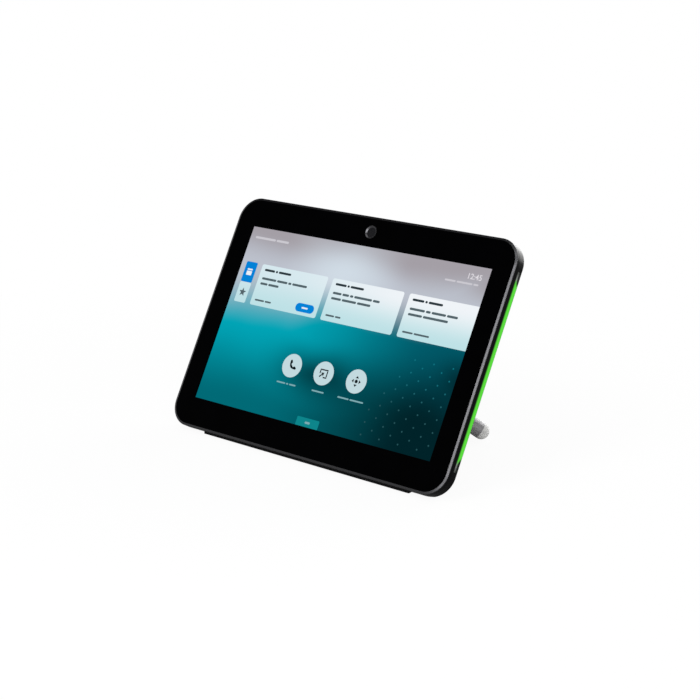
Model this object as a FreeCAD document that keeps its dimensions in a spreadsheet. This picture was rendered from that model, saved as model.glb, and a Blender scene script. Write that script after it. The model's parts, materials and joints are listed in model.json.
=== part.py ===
import FreeCAD, Part
import os
import re

Vector = FreeCAD.Vector
Rotation = FreeCAD.Rotation
Placement = FreeCAD.Placement

# Driving dimensions in millimetres and degrees.
# Panel frame: x to the right, y up along the screen, z out of the glass.
SIZES = {
    # Body, rim, glass and display.
    "tilt": 30, "body_width": 251.5, "body_height": 180, "body_depth": 11.6, "front_depth": 3.9,
    "corner_radius": 17, "rear_round": 3, "wall": 2, "end_wall": 4,
    "rim_width": 1.65, "rim_drop": 0.5, "rim_round": 0.3,
    "glass_thick": 1.1, "glass_clear": 0.1, "tape_thick": 0.2, "tape_width": 2.2,
    "frame_side": 5.95, "frame_end": 7, "window_radius": 14,
    "lcd_side": 5.05, "lcd_foot": 6.95, "lcd_gap": 1.05, "lcd_thick": 1.4,
    "chassis_gap": 0.75, "chassis_play": 0.5, "chassis_radius": 20, "chassis_thick": 1,
    # Camera.
    "ring_radius": 4.75, "ring_wall": 1.1, "ring_lip": 0.2, "lens_recess": 0.7,
    "barrel_radius": 4.3, "barrel_length": 2.1, "camera_gap": 0.1, "board_margin": 0.1, "camera_board": 16,
    # Light bars.
    "bar_end": 3, "bar_front": 1, "bar_back": 2.1, "bar_flange": 1, "led_thick": 1, "led_inset": 4,
    # Electronics cover.
    "cover_width": 168, "cover_height": 112, "cover_radius": 10, "cover_round": 3,
    "vent_width": 2.5, "vent_height": 15, "vent_pitch": 8, "vent_count": 7, "vent_base": 28,
    "wall_pitch": 75, "insert_radius": 3.2, "insert_bore": 2, "insert_length": 5, "boss_radius": 5,
    "lock_half": 3.5, "lock_height": 1.6,
    # Main board and what stands on it.
    "board_gap": 3, "board_clear": 2.5, "board_length": 110, "board_thick": 1.4,
    "spacer_height": 3.4, "spacer_radius": 2.8, "spacer_inset": 5,
    "shield_side": 24, "shield_size": 36, "shield_height": 2.6, "spreader_size": 44, "spreader_thick": 1,
    "stack_gap": 0.8,
    "transformer_length": 18, "transformer_width": 14, "transformer_height": 6, "transformer_low": 6,
    "transformer_gap": 0.6,
    "ribbon_width": 20, "ribbon_thick": 0.4, "ribbon_inset": 6, "cable_room": 6,
    # Sockets and reset button.
    "jack_width": 16, "jack_height": 11, "jack_length": 18, "jack_in": 22, "jack_tab": 2,
    "jack_gap": 0.3, "jack_play": 0.1, "jack_clear": 0.2, "tab_start": 6, "tab_length": 8, "tab_thick": 1,
    "socket_width": 11.7, "socket_height": 8.1, "socket_depth": 13, "port_clear": 0.5,
    "usb_step": 20, "usb_width": 9, "usb_height": 3.2, "usb_length": 7.4, "usb_wall": 0.35, "usb_edge": 0.8,
    "usb_back": 1.2, "tongue_inset": 1.6, "tongue_half": 0.35,
    "reset_step": 14, "reset_radius": 1.9, "reset_travel": 0.6, "reset_clear": 0.3, "reset_proud": 0.8,
    "reset_lip": 0.8, "switch_gap": 3.6, "switch_length": 5, "switch_half": 3, "switch_height": 4,
    # Stand.
    "bracket_width": 60, "bracket_height": 48, "bracket_thick": 2, "bracket_drop": 2, "bracket_radius": 4,
    "bracket_margin": 6, "pivot_height": -5, "pivot_rise": 9.5, "lug_half": 5, "lug_radius": 7.5,
    "lug_clear": 0.9, "stop_clear": 0.25, "nose_reach": 4,
    "pin_radius": 3, "pin_clear": 0.04, "pin_proud": 1, "washer_thick": 0.6, "washer_inset": 0.5,
    "cheek_length": 10.4, "cheek_radius": 7.5, "clip_thick": 1.2, "clip_radius": 4.6, "clip_clear": 0.3,
    "bridge_gap": 1.1, "bridge_length": 8.4, "bridge_half": 6,
    "open_angle": 17.2, "splay": 38.1, "leg_base": 12, "leg_radius": 6, "leg_wall": 1.5, "leg_clear": 0.03,
    "socket_wall": 1.4, "socket_start": 4, "socket_floor": 12, "socket_end": 24,
    "tip_collar": 1, "tip_plug": 9,
    # Foot strip.
    "land_front": 7, "strip_thick": 1.8, "strip_width": 4.6, "strip_half": 95, "strip_inset": 0.2,
    "strip_round": 0.5,
    # Screws.
    "screw_radius": 1, "screw_head": 1.9, "screw_head_height": 1.3, "screw_clear": 0.05, "head_clear": 0.2,
    "boss_wall": 1.6, "thread_depth": 1.9, "thread_spare": 0.2, "corner_inset": 1.6,
    "post_seat": 5, "post_inset": 8, "housing_seat": 1.8, "housing_gap": 0.6,
    "small_screw": 0.7, "small_head": 1.4, "small_head_height": 0.9,
    "big_screw": 1.5, "big_head": 2.9, "big_boss": 2.2, "sink_rise": 0.5, "big_grip": 1.4,
    # How far a cutting shape reaches past the face it cuts.
    "beyond": 1,
}
NEAR = 0.001

doc = FreeCAD.newDocument("desk_touch_phone")
sheet = doc.addObject("Spreadsheet::Sheet", "Sheet")
for row, (alias, number) in enumerate(SIZES.items(), start=1):
    cell = "A%d" % row
    sheet.set(cell, str(number))
    sheet.setAlias(cell, alias)
doc.recompute()

parts = []


def bind(text):
    """Turn an expression in plain aliases into one that reads the sheet."""
    return re.sub(r"[a-z_]+", lambda m: "Sheet." + m.group() if m.group() in SIZES else m.group(), str(text))


def size(text):
    """Number behind an expression, for the places that take no expression."""
    return float(sheet.evalExpression(bind(text)))


def minus(text):
    return "-(%s)" % text


def set_base(item, x, y, z):
    for axis, text in zip("xyz", (x, y, z)):
        item.setExpression("Placement.Base." + axis, bind(text))


def box(x0, x1, y0, y1, z0, z1):
    item = doc.addObject("Part::Box", "box")
    item.setExpression("Length", bind("(%s) - (%s)" % (x1, x0)))
    item.setExpression("Width", bind("(%s) - (%s)" % (y1, y0)))
    item.setExpression("Height", bind("(%s) - (%s)" % (z1, z0)))
    set_base(item, x0, y0, z0)
    return item


def cylinder(radius, x, y, z, length, axis="z"):
    """Cylinder from its start point along +x or +z."""
    item = doc.addObject("Part::Cylinder", "cylinder")
    item.setExpression("Radius", bind(radius))
    item.setExpression("Height", bind(length))
    if axis == "x":
        item.Placement = Placement(Vector(), Rotation(Vector(0, 1, 0), 90))
    set_base(item, x, y, z)
    return item


def cylinders(radius, spots, z, length):
    """One cylinder along +z at each place in a list of places."""
    return [cylinder(radius, x, y, z, length) for x, y in spots]


def cone(radius_start, radius_end, x, y, z, length):
    item = doc.addObject("Part::Cone", "cone")
    item.setExpression("Radius1", bind(radius_start))
    item.setExpression("Radius2", bind(radius_end))
    item.setExpression("Height", bind(length))
    set_base(item, x, y, z)
    return item


def edges_where(item, test):
    doc.recompute()
    return [index for index, edge in enumerate(item.Shape.Edges, start=1) if test(edge.BoundBox)]


def fillet(item, radius, test):
    chosen = edges_where(item, test)
    result = doc.addObject("Part::Fillet", "fillet")
    result.Base = item
    result.Edges = [(index, size(radius), size(radius)) for index in chosen]
    return result


def upright(bounds):
    return bounds.ZLength > NEAR and bounds.XLength < NEAR and bounds.YLength < NEAR


def lengthwise(bounds):
    return bounds.XLength > NEAR and bounds.YLength < NEAR and bounds.ZLength < NEAR


def at_level(level):
    height = size(level)
    return lambda bounds: abs(bounds.ZMin - height) < NEAR and abs(bounds.ZMax - height) < NEAR


def plate(width, height, radius, front, back, y="0"):
    """Rounded rectangle about x = 0, from its front level to its back level."""
    block = box("-(%s)/2" % width, "(%s)/2" % width,
                "(%s) - (%s)/2" % (y, height), "(%s) + (%s)/2" % (y, height), back, front)
    return fillet(block, radius, upright)


def fuse(*items):
    result = doc.addObject("Part::MultiFuse", "fuse")
    result.Shapes = list(items)
    return result


def cut(base, *tools):
    result = doc.addObject("Part::Cut", "cut")
    result.Base = base
    result.Tool = tools[0] if len(tools) == 1 else fuse(*tools)
    return result


def common(first, second):
    result = doc.addObject("Part::MultiCommon", "common")
    result.Shapes = [first, second]
    return result


def group(*items):
    result = doc.addObject("Part::Compound", "group")
    result.Links = list(items)
    return result


def four_corners(x, y):
    """The four places at plus or minus x and plus or minus y."""
    return [(sx + "(%s)" % x, sy + "(%s)" % y) for sx in "+-" for sy in "+-"]


def name_part(label, item, place):
    """Give a finished sub-part its name and its place in the shared frame."""
    item.Label = label
    item.Placement = place
    parts.append(item)


# Depth of the electronics cover: the tallest of the three stacks inside it.
JACK_STACK = "jack_gap + jack_height + jack_play"
SHIELD_STACK = "spacer_height + board_thick + shield_height + spreader_thick + stack_gap + big_boss"
COIL_STACK = "spacer_height + board_thick + transformer_height + transformer_gap"
COVER_DEPTH = "(wall + max(%s; max(%s; %s)))" % (JACK_STACK, SHIELD_STACK, COIL_STACK)
COVER_FACE = "(-body_depth - %s)" % COVER_DEPTH
COVER_INNER = "(%s + wall)" % COVER_FACE
BRACKET_FACE = "(%s - bracket_thick)" % COVER_FACE
PIVOT_Z = "(%s - pivot_rise)" % BRACKET_FACE

# Places of the tilted panel and of the opened stand, and the legs that just reach the desk.
PANEL_Y = "body_height/2*sin(tilt) - land_front*cos(tilt) - strip_inset - strip_width/2"
PANEL_Z = "(strip_thick + body_height/2*cos(tilt) + land_front*sin(tilt))"
PIVOT_HEIGHT = "(%s + pivot_height*cos(tilt) + %s*sin(tilt))" % (PANEL_Z, PIVOT_Z)
LEG_LENGTH = "((%s - leg_radius)/sin(tilt + open_angle)/cos(splay))" % PIVOT_HEIGHT
panel = Placement(Vector(0, size(PANEL_Y), size(PANEL_Z)), Rotation(Vector(1, 0, 0), 90 - size("tilt")))
pivot = Vector(0, size("pivot_height"), size(PIVOT_Z))
stand = panel.multiply(Placement(pivot, Rotation(Vector(1, 0, 0), -size("open_angle"))))

# Window of the front frame, and the camera above the display in it.
WINDOW_WIDTH = "(body_width - 2*frame_side)"
WINDOW_HEIGHT = "(body_height - 2*frame_end)"
CAMERA_Y = "(body_height/2 - frame_end - camera_gap - barrel_radius - board_margin)"
RING_BORE = "(ring_radius - ring_wall)"

# Cover glass with its camera hole, and the tape that holds it.
GLASS_WIDTH = "(body_width - 2*rim_width - 2*glass_clear)"
GLASS_HEIGHT = "(body_height - 2*rim_width - 2*glass_clear)"
GLASS_RADIUS = "(corner_radius - rim_width - glass_clear)"
TAPE_BACK = "(-glass_thick - tape_thick)"
glass = plate(GLASS_WIDTH, GLASS_HEIGHT, GLASS_RADIUS, "0", "-glass_thick")
camera_hole = cylinder("ring_radius + screw_clear", "0", CAMERA_Y, "-2*glass_thick", "4*glass_thick")
name_part("cover_glass", cut(glass, camera_hole), panel)

tape_outer = plate(GLASS_WIDTH, GLASS_HEIGHT, GLASS_RADIUS, "-glass_thick", TAPE_BACK)
tape_inner = plate(GLASS_WIDTH + " - 2*tape_width", GLASS_HEIGHT + " - 2*tape_width",
                   GLASS_RADIUS + " - tape_width", "0", "-2*glass_thick")
name_part("glass_tape", cut(tape_outer, tape_inner), panel)

# Chassis plate size, and the places of the screws round the window.
CHASSIS_WIDTH = "(body_width - 2*(wall + bar_flange + led_thick + chassis_gap))"
CHASSIS_HEIGHT = "(body_height - 2*end_wall - 2*chassis_play)"
CHASSIS_SCREW_Y = "(%s + %s)/4" % (WINDOW_HEIGHT, CHASSIS_HEIGHT)
housing_spots = four_corners(WINDOW_WIDTH + "/2 - corner_inset", WINDOW_HEIGHT + "/2 - corner_inset")
chassis_spots = four_corners(WINDOW_WIDTH + "/4", CHASSIS_SCREW_Y)
chassis_spots.append(("0", minus(CHASSIS_SCREW_Y)))

# Front frame: sloping rim, pocket for the glass, window for the display.
frame_block = plate("body_width", "body_height", "corner_radius", "0", "-front_depth")
rim = doc.addObject("Part::Chamfer", "rim")
rim.Base = frame_block
rim_edges = edges_where(frame_block, at_level("0"))
rim.Edges = [(index, size("rim_drop"), size("rim_width")) for index in rim_edges]
soft_rim = fillet(rim, "rim_round", at_level("-rim_drop"))
pocket = plate(GLASS_WIDTH + " + 2*glass_clear", GLASS_HEIGHT + " + 2*glass_clear",
               GLASS_RADIUS + " + glass_clear", "beyond", TAPE_BACK)
window = plate(WINDOW_WIDTH, WINDOW_HEIGHT, "window_radius", "0", "-2*front_depth")
housing_threads = cylinders("screw_radius + screw_clear", housing_spots, "-front_depth", "thread_depth")
chassis_threads = cylinders("small_screw + screw_clear", chassis_spots, "-front_depth", "thread_depth")
name_part("front_frame", cut(soft_rim, pocket, window, *housing_threads, *chassis_threads), panel)

# Display: liquid crystal panel bonded to the glass, and its backlight tray.
LCD_HALF = "(%s/2 - lcd_side)" % WINDOW_WIDTH
LCD_TOP = "%s - barrel_radius - board_margin - lcd_gap" % CAMERA_Y
LCD_BASE = "frame_end + lcd_foot - body_height/2"
LCD_BACK = "(-glass_thick - lcd_thick)"
lcd_panel = box(minus(LCD_HALF), LCD_HALF, LCD_BASE, LCD_TOP, LCD_BACK, "-glass_thick")
name_part("lcd_panel", group(lcd_panel), panel)
backlight = box(minus(LCD_HALF), LCD_HALF, LCD_BASE, LCD_TOP, "-front_depth", LCD_BACK)
name_part("backlight_tray", group(backlight), panel)

# Main board outline, and the ribbon from it to the display.
BOARD_LEFT = "(cover_width/2 - wall - board_gap)"
BOARD_RIGHT = "(board_length - %s)" % BOARD_LEFT
BOARD_HALF = "(cover_height/2 - post_inset - screw_head - boss_wall - board_clear)"
BOARD_FRONT = "(-body_depth - spacer_height)"
BOARD_REAR = "(%s - board_thick)" % BOARD_FRONT
RIBBON_END = "(%s - ribbon_inset)" % BOARD_RIGHT
RIBBON_START = "(%s - ribbon_width)" % RIBBON_END
ribbon = box(RIBBON_START, RIBBON_END, "-ribbon_thick/2", "ribbon_thick/2", BOARD_FRONT, "-front_depth")
name_part("display_cable", group(ribbon), panel)

# Chassis plate behind the display, screwed to the frame's ledge.
CHASSIS_BACK = "(-front_depth - chassis_thick)"
chassis = plate(CHASSIS_WIDTH, CHASSIS_HEIGHT, "chassis_radius", "-front_depth", CHASSIS_BACK)
chassis_holes = cylinders("small_screw + screw_clear", chassis_spots, "-2*front_depth", "2*front_depth")
ribbon_slot = box(RIBBON_START + " - port_clear", RIBBON_END + " + port_clear",
                  "-ribbon_thick/2 - port_clear", "ribbon_thick/2 + port_clear", "-2*front_depth", "0")
name_part("chassis_plate", cut(chassis, ribbon_slot, *chassis_holes), panel)

chassis_screws = []
for x, y in chassis_spots:
    shank = cylinder("small_screw", x, y, CHASSIS_BACK, "chassis_thick + thread_depth - thread_spare")
    head = cylinder("small_head", x, y, CHASSIS_BACK + " - small_head_height", "small_head_height")
    chassis_screws.append(fuse(shank, head))
name_part("chassis_screws", group(*chassis_screws), panel)

# Camera: dished ring with a sunk window in the glass, barrel and board behind it.
ring_outer = cylinder("ring_radius", "0", CAMERA_Y, "-glass_thick", "glass_thick")
ring_inner = cylinder(RING_BORE, "0", CAMERA_Y, "-2*glass_thick", "4*glass_thick")
ring_dish = cone(RING_BORE, "ring_radius - ring_lip", "0", CAMERA_Y, "-lens_recess", "lens_recess")
name_part("camera_ring", cut(ring_outer, ring_inner, ring_dish), panel)
lens = cylinder(RING_BORE, "0", CAMERA_Y, "-glass_thick", "glass_thick - lens_recess")
name_part("camera_lens", group(lens), panel)
BARREL_BACK = "(-glass_thick - barrel_length)"
barrel = cylinder("barrel_radius", "0", CAMERA_Y, BARREL_BACK, "barrel_length")
name_part("camera_barrel", group(barrel), panel)
camera_board = box("-camera_board/2", "camera_board/2", CAMERA_Y + " - barrel_radius - board_margin",
                   CAMERA_Y + " + barrel_radius + board_margin", "-front_depth", BARREL_BACK)
name_part("camera_board", group(camera_board), panel)


def rear_block():
    """Outer solid of the rear housing before it is hollowed, cut flat where it meets the desk."""
    block = plate("body_width", "body_height", "corner_radius", "-front_depth", "-body_depth")
    rounded = fillet(block, "rear_round", at_level("-body_depth"))
    desk_side = group(box("-body_width", "body_width", "-body_height", "0", "-body_height", "body_height"))
    land = Vector(0, -size("body_height/2"), -size("land_front"))
    desk_side.Placement = Placement(land, Rotation(Vector(1, 0, 0), size("tilt")))
    return cut(rounded, desk_side)


# Light bars in the two sides, each with a strip of lamps behind it.
BAR_FRONT = "(-front_depth - bar_front)"
BAR_BACK = "(bar_back - body_depth)"
BAR_HALF = "(body_height/2 - corner_radius - bar_end)"
BAR_INNER = "(body_width/2 - wall - bar_flange)"


def on_side(sign, x0, x1):
    """A span of x on the right side, or its mirror image on the left."""
    return (x0, x1) if sign == "+" else (minus(x1), minus(x0))


def bar_block(sign, extra):
    x0, x1 = on_side(sign, BAR_INNER, "body_width/2 + beyond")
    half = "%s + %s" % (BAR_HALF, extra)
    return box(x0, x1, minus(half), half, BAR_BACK + " - " + extra, BAR_FRONT + " + " + extra)


for sign, side in (("-", "left"), ("+", "right")):
    name_part("light_bar_" + side, common(rear_block(), bar_block(sign, "0")), panel)
    x0, x1 = on_side(sign, BAR_INNER + " - led_thick", BAR_INNER)
    half = BAR_HALF + " - led_inset"
    strip = box(x0, x1, minus(half), half, BAR_BACK + " + housing_gap", BAR_FRONT + " - housing_gap")
    name_part("led_strip_" + side, group(strip), panel)

# Rear housing: hollow shell with bar slots, corner bosses and a cable opening.
cavity = plate("body_width - 2*wall", "body_height - 2*end_wall", "corner_radius - wall",
               "-front_depth", "wall - body_depth")
slots = [bar_block(sign, "screw_clear") for sign in "+-"]
BOSS_LENGTH = "body_depth + %s - housing_gap" % CHASSIS_BACK
bosses = fuse(*cylinders("screw_head + boss_wall", housing_spots, "-body_depth", BOSS_LENGTH))
HEAD_SEAT = "(wall + housing_seat - body_depth)"
head_holes = cylinders("screw_head + head_clear", housing_spots,
                       "-2*body_depth", "2*body_depth + " + HEAD_SEAT)
shank_holes = cylinders("screw_radius + screw_clear", housing_spots,
                        "-body_depth", "body_depth - front_depth")
cable_opening = box(RIBBON_START + " - cable_room", RIBBON_END + " + cable_room", "-cable_room", "cable_room",
                    "-2*body_depth", "-front_depth")
shell = fuse(cut(rear_block(), cavity, cable_opening, *slots), common(bosses, rear_block()))
cover_spots = four_corners("cover_width/2 - post_inset", "cover_height/2 - post_inset")
spacer_spots = [(x, sign + "(%s - spacer_inset)" % BOARD_HALF) for sign in "+-"
                for x in ("spacer_inset - " + BOARD_LEFT, BOARD_RIGHT + " - spacer_inset")]
back_threads = cylinders("screw_radius + screw_clear", cover_spots + spacer_spots,
                         "-2*body_depth", "2*body_depth + " + CHASSIS_BACK)
name_part("rear_housing", cut(shell, *head_holes, *shank_holes, *back_threads), panel)

housing_screws = []
for x, y in housing_spots:
    shank = cylinder("screw_radius", x, y, HEAD_SEAT,
                     "thread_depth - thread_spare - front_depth - " + HEAD_SEAT)
    head = cylinder("screw_head", x, y, HEAD_SEAT + " - screw_head_height", "screw_head_height")
    housing_screws.append(fuse(shank, head))
name_part("housing_screws", group(*housing_screws), panel)

# Electronics cover on the back: shell with posts, bosses, vents and port openings.
cover_block = plate("cover_width", "cover_height", "cover_radius", "-body_depth", COVER_FACE)
cover_rounded = fillet(cover_block, "cover_round", at_level(COVER_FACE))
cover_cavity = plate("cover_width - 2*wall", "cover_height - 2*wall", "cover_radius - wall",
                     "-body_depth", COVER_INNER)
posts = cylinders("screw_head + boss_wall", cover_spots, COVER_INNER, COVER_DEPTH + " - wall")
insert_spots = four_corners("wall_pitch/2", "wall_pitch/2")
insert_bosses = cylinders("boss_radius", insert_spots, COVER_INNER, "insert_length - wall")
BRACKET_Y = "(pivot_height - bracket_drop)"
bracket_spots = [(x, BRACKET_Y + y) for x, y in
                 four_corners("bracket_width/2 - bracket_margin", "bracket_height/2 - bracket_margin")]
screw_bosses = cylinders("big_head", bracket_spots, COVER_INNER, "big_boss")
cover_shell = fuse(cut(cover_rounded, cover_cavity), *posts, *insert_bosses, *screw_bosses)
post_heads = cylinders("screw_head + head_clear", cover_spots, COVER_FACE + " - beyond",
                       "beyond - post_seat + " + COVER_DEPTH)
post_shanks = cylinders("screw_radius + screw_clear", cover_spots, COVER_FACE, COVER_DEPTH)
insert_holes = cylinders("insert_radius", insert_spots, COVER_FACE, "insert_length + beyond")
bracket_holes = cylinders("big_screw + screw_clear", bracket_spots, COVER_FACE, "wall + big_boss + beyond")
screw_ways = post_heads + post_shanks + insert_holes + bracket_holes

vents = []
for index in range(int(size("vent_count"))):
    middle = "(%d - (vent_count - 1)/2)*vent_pitch" % index
    vents.append(box(middle + " - vent_width/2", middle + " + vent_width/2", "vent_base",
                     "vent_base + vent_height", COVER_FACE + " - beyond", COVER_INNER + " + beyond"))

# Ports in the left wall, from the upper end of the board downwards.
JACK_Y = "(%s - jack_in)" % BOARD_HALF
USB_Y = "(%s - usb_step)" % JACK_Y
RESET_Y = "(%s - reset_step)" % USB_Y
JACK_Z = "(-body_depth - jack_gap - jack_height/2)"
USB_Z = "(%s - usb_height/2)" % BOARD_REAR
RESET_Z = "(%s - switch_height/2 - reset_lip)" % BOARD_REAR
WALL_OUT = "(-cover_width/2 - beyond)"
PORT_FACE = "(wall - cover_width/2)"


def port_block(x0, x1, y, width, z, height):
    """Block for a port: a span of x, then middle and width in y, then middle and height in z."""
    return box(x0, x1, "%s - (%s)/2" % (y, width), "%s + (%s)/2" % (y, width),
               "%s - (%s)/2" % (z, height), "%s + (%s)/2" % (z, height))


jack_window = port_block(WALL_OUT, PORT_FACE + " + beyond", JACK_Y, "socket_width + 2*port_clear",
                         JACK_Z, "socket_height + 2*port_clear")
usb_window = port_block(WALL_OUT, PORT_FACE + " + beyond", USB_Y, "usb_width + 2*port_clear",
                        USB_Z, "usb_height + 2*port_clear")
reset_hole = cylinder("reset_radius + reset_clear", WALL_OUT, RESET_Y, RESET_Z, "wall + 2*beyond", "x")
lock_slot = port_block("cover_width/2 - wall - beyond", "cover_width/2 + beyond", "0", "2*lock_half",
                       "-body_depth - %s/2" % COVER_DEPTH, "2*lock_height")
ports = [jack_window, usb_window, reset_hole, lock_slot]
name_part("rear_cover", cut(cover_shell, *screw_ways, *vents, *ports), panel)

cover_screws = []
for x, y in cover_spots:
    shank = cylinder("screw_radius", x, y, "-body_depth - post_seat", "post_seat + wall - thread_spare")
    head = cylinder("screw_head", x, y, "-body_depth - post_seat - screw_head_height", "screw_head_height")
    cover_screws.append(fuse(shank, head))
name_part("cover_screws", group(*cover_screws), panel)

wall_inserts = []
for x, y in insert_spots:
    outer = cylinder("insert_radius", x, y, COVER_FACE, "insert_length")
    inner = cylinder("insert_bore", x, y, COVER_FACE + " - beyond", "insert_length + 2*beyond")
    wall_inserts.append(cut(outer, inner))
name_part("wall_inserts", group(*wall_inserts), panel)

# Main board on spacers, with its screws.
board_block = box(minus(BOARD_LEFT), BOARD_RIGHT, minus(BOARD_HALF), BOARD_HALF, BOARD_REAR, BOARD_FRONT)
jack_notch = port_block("-cover_width/2", PORT_FACE + " + jack_length + jack_clear", JACK_Y,
                        "jack_width + 2*jack_clear", BOARD_REAR, "4*board_thick")
board_holes = cylinders("screw_radius + screw_clear", spacer_spots, COVER_FACE, COVER_DEPTH)
name_part("main_board", cut(board_block, jack_notch, *board_holes), panel)

spacers = []
board_screws = []
for x, y in spacer_spots:
    outer = cylinder("spacer_radius", x, y, BOARD_FRONT, "spacer_height")
    inner = cylinder("screw_radius + screw_clear", x, y, COVER_FACE, COVER_DEPTH + " + beyond")
    spacers.append(cut(outer, inner))
    shank = cylinder("screw_radius", x, y, BOARD_REAR, "board_thick + spacer_height + wall - thread_spare")
    head = cylinder("screw_head", x, y, BOARD_REAR + " - screw_head_height", "screw_head_height")
    board_screws.append(fuse(shank, head))
name_part("board_spacers", group(*spacers), panel)
name_part("board_screws", group(*board_screws), panel)

# Network socket sunk in a notch of the board, held by two tabs.
jack_block = port_block(PORT_FACE, PORT_FACE + " + jack_length", JACK_Y, "jack_width", JACK_Z, "jack_height")
jack_tabs = port_block(PORT_FACE + " + tab_start", PORT_FACE + " + tab_start + tab_length",
                       JACK_Y, "jack_width + 2*jack_tab", BOARD_REAR + " - tab_thick/2", "tab_thick")
jack_socket = port_block(PORT_FACE + " - beyond", PORT_FACE + " + socket_depth",
                         JACK_Y, "socket_width", JACK_Z, "socket_height")
name_part("network_jack", cut(fuse(jack_block, jack_tabs), jack_socket), panel)

# Small power and data socket: rounded metal shell with a tongue.
usb_block = port_block(PORT_FACE, PORT_FACE + " + usb_length", USB_Y, "usb_width", USB_Z, "usb_height")
usb_shell = fillet(usb_block, "usb_height/2 - screw_clear", lengthwise)
usb_hollow = port_block(PORT_FACE + " - beyond", PORT_FACE + " + usb_length - usb_back",
                        USB_Y, "usb_width - 2*usb_edge", USB_Z, "usb_height - 2*usb_wall")
usb_tongue = port_block(PORT_FACE + " + usb_edge", PORT_FACE + " + usb_length - usb_back/2",
                        USB_Y, "usb_width - 2*tongue_inset", USB_Z, "2*tongue_half")
name_part("usb_jack", fuse(cut(usb_shell, usb_hollow), usb_tongue), panel)

# Reset switch on the board and the button that reaches it through the wall.
SWITCH_FACE = PORT_FACE + " + switch_gap"
switch = port_block(SWITCH_FACE, SWITCH_FACE + " + switch_length", RESET_Y, "2*switch_half",
                    BOARD_REAR + " - switch_height/2", "switch_height")
name_part("reset_switch", group(switch), panel)
STEM_LENGTH = "wall + reset_proud + switch_gap - reset_travel - reset_clear"
button_stem = cylinder("reset_radius", "-cover_width/2 - reset_proud", RESET_Y, RESET_Z, STEM_LENGTH, "x")
button_flange = cylinder("reset_radius + reset_lip", PORT_FACE, RESET_Y, RESET_Z, "reset_lip", "x")
name_part("reset_button", fuse(button_stem, button_flange), panel)

# Processor can, its heat spreader, and the network power transformer.
SHIELD_BACK = "(%s - shield_height)" % BOARD_REAR
shield = box("-shield_side - shield_size/2", "shield_size/2 - shield_side",
             "-shield_size/2", "shield_size/2", SHIELD_BACK, BOARD_REAR)
name_part("processor_shield", group(shield), panel)
spreader = box("-shield_side - spreader_size/2", "spreader_size/2 - shield_side",
               "-spreader_size/2", "spreader_size/2", SHIELD_BACK + " - spreader_thick", SHIELD_BACK)
name_part("heat_spreader", group(spreader), panel)
COIL_END = "(-wall_pitch/2 - boss_radius - transformer_gap)"
COIL_BASE = "(transformer_low - %s)" % BOARD_HALF
transformer = box(COIL_END + " - transformer_length", COIL_END, COIL_BASE, COIL_BASE + " + transformer_width",
                  BOARD_REAR + " - transformer_height", BOARD_REAR)
name_part("power_transformer", group(transformer), panel)


def hinge_round(radius, x, length, y="0", z="0"):
    """Cylinder on the hinge line, about the origin or about the pivot."""
    return cylinder(radius, x, y, z, length, "x")


# Stand bracket: plate, bearing lug with its stop nose, and countersunk holes.
ABOUT_PIVOT = ("pivot_height", PIVOT_Z)
BRIDGE_NEAR = "(lug_radius + bridge_gap)"
STOP_LEVEL = "bridge_half*cos(open_angle) - %s*sin(open_angle) + pivot_height + stop_clear" % BRIDGE_NEAR
SINK_DEPTH = "big_head - big_screw"
bracket_plate = plate("bracket_width", "bracket_height", "bracket_radius",
                      COVER_FACE, BRACKET_FACE, BRACKET_Y)
lug_round = hinge_round("lug_radius", "-lug_half", "2*lug_half", *ABOUT_PIVOT)
lug_neck = box("-lug_half", "lug_half", "pivot_height - lug_radius", "pivot_height + lug_radius",
               PIVOT_Z, BRACKET_FACE)
nose = box("-lug_half", "lug_half", STOP_LEVEL, "pivot_height + lug_radius",
           "%s - %s - nose_reach" % (PIVOT_Z, BRIDGE_NEAR), BRACKET_FACE)
lug_bore = hinge_round("pin_radius + screw_clear", "-2*lug_half", "4*lug_half", *ABOUT_PIVOT)
plate_holes = cylinders("big_screw + screw_clear", bracket_spots, BRACKET_FACE, "bracket_thick")
sinks = [cone("big_head + screw_clear", "big_screw + screw_clear", x, y, BRACKET_FACE, SINK_DEPTH)
         for x, y in bracket_spots]
bracket_body = fuse(bracket_plate, lug_round, lug_neck, nose)
name_part("stand_bracket", cut(bracket_body, lug_bore, *plate_holes, *sinks), panel)

bracket_screws = []
for x, y in bracket_spots:
    head = cone("big_head", "big_screw", x, y, BRACKET_FACE, SINK_DEPTH)
    shank = cylinder("big_screw", x, y, BRACKET_FACE + " + sink_rise", "bracket_thick + wall + big_grip")
    bracket_screws.append(fuse(head, shank))
name_part("bracket_screws", group(*bracket_screws), panel)

# Hinge: pin through the lug, washers beside it and clips at its ends.
CHEEK_IN = "(lug_half + washer_thick)"
CHEEK_OUT = "(lug_half + washer_thick + cheek_length)"
PIN_HALF = "(%s + clip_thick + pin_proud)" % CHEEK_OUT
pin = hinge_round("pin_radius", minus(PIN_HALF), "2*" + PIN_HALF, *ABOUT_PIVOT)
name_part("hinge_pin", group(pin), panel)
washers = []
clips = []
for sign in "+-":
    start, end = on_side(sign, "lug_half", CHEEK_IN)
    outer = hinge_round("lug_radius - washer_inset", start, "washer_thick", *ABOUT_PIVOT)
    inner = hinge_round("pin_radius + screw_clear", "-2*" + CHEEK_IN, "4*" + CHEEK_IN, *ABOUT_PIVOT)
    washers.append(cut(outer, inner))
    start, end = on_side(sign, CHEEK_OUT, CHEEK_OUT + " + clip_thick")
    outer = hinge_round("clip_radius", start, "clip_thick", *ABOUT_PIVOT)
    inner = hinge_round("pin_radius", "-2*" + CHEEK_OUT, "4*" + CHEEK_OUT, *ABOUT_PIVOT)
    clips.append(cut(outer, inner))
name_part("hinge_washers", group(*washers), panel)
name_part("pin_clips", group(*clips), panel)


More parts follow.
